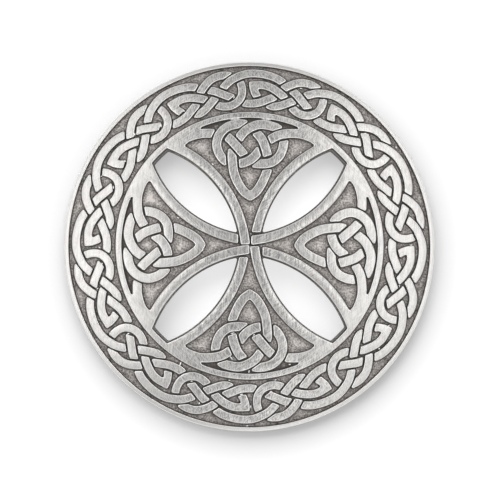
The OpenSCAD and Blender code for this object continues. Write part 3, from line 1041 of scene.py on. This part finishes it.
def makeSteel():
    s = Shader(bpy.data.materials.new("drawnSteelWire"))
    where = s.add("TexCoord", "place").outputs["Object"]
    along = s.add("Mapping", "drawn along x", {"Vector": where, "Scale": (0.05, 1, 1)}).outputs["Vector"]
    lines = s.noise("drawing lines", along, pinSteel["drawLines"], 3)
    low, high = pinSteel["roughness"]
    dark = tuple(c * pinSteel["dark"] for c in pinSteel["colour"])
    return s.surface("steel", {
        "Metallic": 1.0,
        "Base Color": s.ramp("steel colour", lines, [(0.25, dark), (0.7, pinSteel["colour"])]),
        "Roughness": s.ramp("roughness", lines, [(0.3, low), (0.7, high)]),
        "Normal": s.bump("drawn surface", lines, pinSteel["bump"], 0.4),
    })


castDisc = makeCastDisc()
castDisc.data.materials.append(makePewter())
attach(castDisc, "root")
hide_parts("disc")
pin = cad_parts["pin"]
pin.data.materials.clear()
pin.data.materials.append(makeSteel())
print("finishes made")


# A pale table with a light of its own, in a light tent that is dim above and bright at the sides. The three
# lamps light only the table, so the polished tops mirror the tent alone. The table's own light is painted
# light:
# strongest under the piece, dimmer round its rim and stronger again further out. Lengths in metres.
studio = {
    "table": 3.0,
    "tableColour": (0.16, 0.16, 0.16, 1),
    # the table's own painted light, by distance from the middle: distance, strength
    "tableGlow": [(0.008, 0.714), (0.038, 0.33), (0.052, 0.63)],
    "glowMiddle": (0.002, -0.002, 0),
    # the tent by direction: how far from overhead the walls start and are full, how bright they are
    "above": 0.11,
    "sides": 2.31,
    "wallsFrom": 0.088,
    "wallsTo": 0.38,
    "tentShape": (1, 0.5, 0),
    "topLeft": {"towards": (-0.7, 0.7, 0), "start": 0.1, "end": 0.5, "glow": 0.03},
    "horizon": {"start": 0.56, "end": 0.94, "glow": 0.27},
    # darker and lighter places of the tent: x and y of the direction, reach, change in brightness
    "spots": {
        "photographer": (-0.23, -0.44, 0.43, -0.97),
        "tentSeam": (-0.01, 0.56, 0.40, -0.97),
        "frontCard": (0.09, -0.50, 0.31, 1.29),
        "lowerRight": (0.335, -0.43, 0.26, -0.97),
        "upperRight": (0.40, 0.405, 0.17, 0.69),
        "overhead": (-0.03, 0.15, 0.45, -0.69),
        "upperLeft": (-0.27, 0.42, 0.27, 0.63),
        "besideSeam": (0.26, 0.41, 0.22, 0.18),
        "lowerLeft": (-0.47, -0.13, 0.23, 0.58),
    },
    # degrees round the table, degrees over it, size, glow
    "lamps": {
        "highLamp": (97, 40, 1.1, 11.2),
        "lowLamp": (75, 22, 0.6, 5.4),
        "sideLamp": (160, 35, 0.8, 6.7),
    },
    "lens": 560.9,
    "cameraDistance": 1.6,
    "cameraLean": 3.6,
    "cameraSide": 250,
    "cameraRoll": 0.09,
    "aim": (0.13, -0.74),
}


# Unit vector from an angle round z and an angle over the table, both in degrees.
def direction(azimuth, height):
    a, h = math.radians(azimuth), math.radians(height)
    return Vector((math.cos(a) * math.cos(h), math.sin(a) * math.cos(h), math.sin(h)))


def makeTable():
    h = studio["table"] / 2
    table = bpy.data.meshes.new("table")
    table.from_pydata([(-h, -h, 0), (h, -h, 0), (h, h, 0), (-h, h, 0)], [], [(0, 1, 2, 3)])
    floor = bpy.data.objects.new("table", table)
    stageThings.objects.link(floor)
    s = Shader(bpy.data.materials.new("paleTable"))
    where = s.add("TexCoord", "place on the table").outputs["Object"]
    aside = s.vector("DISTANCE", "how far from the glow's middle", where, studio["glowMiddle"])
    out = s.vector("LENGTH", "how far out", where)
    near, edge, beyond = studio["tableGlow"]
    inner = s.fade("painted glow under the piece", aside, near[0], edge[0], near[1], edge[1])
    outer = s.fade("painted glow away from it", out, edge[0], beyond[0], 0, beyond[1] - edge[1])
    table.materials.append(s.surface("paper", {
        "Base Color": studio["tableColour"],
        "Roughness": 1,
        "Specular IOR Level": 0,
        "Emission Color": (1, 1, 1, 1),
        "Emission Strength": s.number("ADD", "own light", inner, outer),
    }))
    lit = bpy.data.collections.new("lit by the lamps")
    lit.objects.link(floor)
    for name, (azimuth, height, size, glow) in studio["lamps"].items():
        lamp = bpy.data.lights.new(name, "AREA")
        lamp.size = size
        lamp.energy = glow * math.pi * size ** 2
        light = bpy.data.objects.new(name, lamp)
        light.location = direction(azimuth, height)
        light.rotation_euler = (-light.location).to_track_quat("-Z", "Y").to_euler()
        light.light_linking.receiver_collection = lit
        stageThings.objects.link(light)


def makeTent():
    s = Shader(bpy.data.worlds.new("studio"))
    place = s.add("TexCoord", "direction").outputs["Generated"]
    stretched = s.vector("MULTIPLY", "long tent", place, studio["tentShape"])
    away = s.vector("LENGTH", "away from overhead", stretched)
    brightest = studio["above"] + studio["sides"]
    sides = s.fade("walls", away, studio["wallsFrom"], studio["wallsTo"], studio["above"], brightest)
    corner, horizon = studio["topLeft"], studio["horizon"]
    leftward = s.vector("DOT_PRODUCT", "towards the top left", place, corner["towards"])
    topLeft = s.fade("lighter top left", leftward, corner["start"], corner["end"], 0, corner["glow"])
    upward = s.vector("DOT_PRODUCT", "upwards", place, (0, 0, 1))
    low = s.fade("dimmer low down", upward, horizon["start"], horizon["end"], horizon["glow"], 1)
    glow = s.number("MULTIPLY", "tent", s.number("ADD", "walls and top left", sides, topLeft), low)
    flat = s.vector("MULTIPLY", "seen from above", place, (1, 1, 0))
    for name, (x, y, reach, change) in studio["spots"].items():
        apart = s.vector("DISTANCE", name + " apart", flat, (x, y, 0))
        glow = s.number("MULTIPLY", name, glow, s.fade(name + " strength", apart, 0, reach, 1 + change, 1))
    back = s.add("Background", "tent light", {"Color": (1, 1, 1, 1), "Strength": glow})
    s.add("OutputWorld", "output", {"Surface": back.outputs["Background"]})
    bpy.context.scene.world = s.owner
    bpy.context.scene.view_settings.view_transform = "Standard"


def makeCamera():
    lens = bpy.data.cameras.new("camera")
    lens.sensor_width = 36
    lens.lens = studio["lens"]
    lens.clip_start = 0.01
    camera = bpy.data.objects.new("camera", lens)
    stageThings.objects.link(camera)
    away = direction(studio["cameraSide"], 90 - studio["cameraLean"])
    roll = math.radians(studio["cameraRoll"])
    up = Vector((math.sin(roll), math.cos(roll), 0))
    right = up.cross(away).normalized()
    up = away.cross(right)
    ax, ay = studio["aim"]
    aim = Vector((0, 0, disc["rimTop"] * mm)) + right * ax * mm + up * ay * mm
    camera.location = aim + away * studio["cameraDistance"]
    camera.rotation_euler = Matrix((right, up, away)).transposed().to_euler()
    bpy.context.scene.camera = camera


makeTable()
makeTent()
makeCamera()
print("studio made")

bpy.context.view_layer.update()
